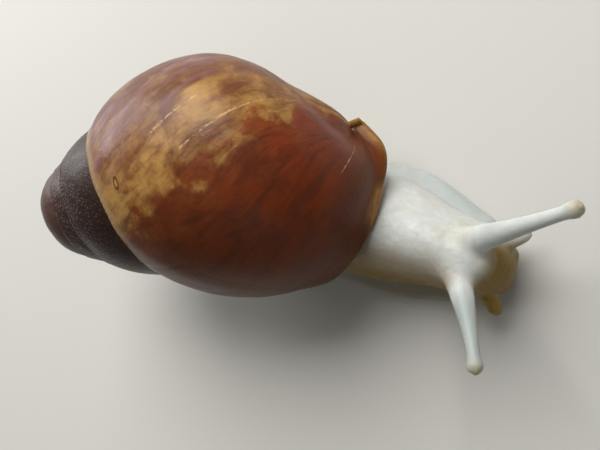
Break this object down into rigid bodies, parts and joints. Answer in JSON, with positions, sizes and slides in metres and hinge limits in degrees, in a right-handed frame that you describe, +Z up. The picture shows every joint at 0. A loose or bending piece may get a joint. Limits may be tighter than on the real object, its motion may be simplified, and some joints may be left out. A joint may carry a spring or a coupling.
{
  "type": "giant land snail model",
  "caption": "Life-size still model of a half-grown giant land snail crawling: egg-shaped right-handed spiral shell, flat-soled body, stretched neck and spread feelers.",
  "frame": {"origin": "centre of the flat sole, on the floor", "axes": "+X ahead, from the tail to the head; +Y to the snail's left; +Z up"},
  "size_m": [0.0792, 0.035, 0.0357],
  "materials": {
    "shell_spire": "glossy dark shell with fine beads",
    "shell_body": "glossy brown shell with growth streaks",
    "shell_lip": "glossy amber new shell",
    "skin": "wet, slightly translucent cream skin",
    "eye": "glossy"
  },
  "bodies": {
    "root": {"shell_apex": "shell_spire", "shell_spire": "shell_spire", "shell_body_whorl": "shell_body", "shell_lip": "shell_lip", "mantle_collar": "skin", "foot_tail": "skin", "foot_middle": "skin", "foot_front": "skin", "neck": "skin", "head": "skin", "mouth_lobe_left": "skin", "mouth_lobe_right": "skin", "upper_feeler_left": "skin", "upper_feeler_right": "skin", "lower_feeler_left": "skin", "lower_feeler_right": "skin", "eye_left": "eye", "eye_right": "eye"}
  },
  "joints": []
}
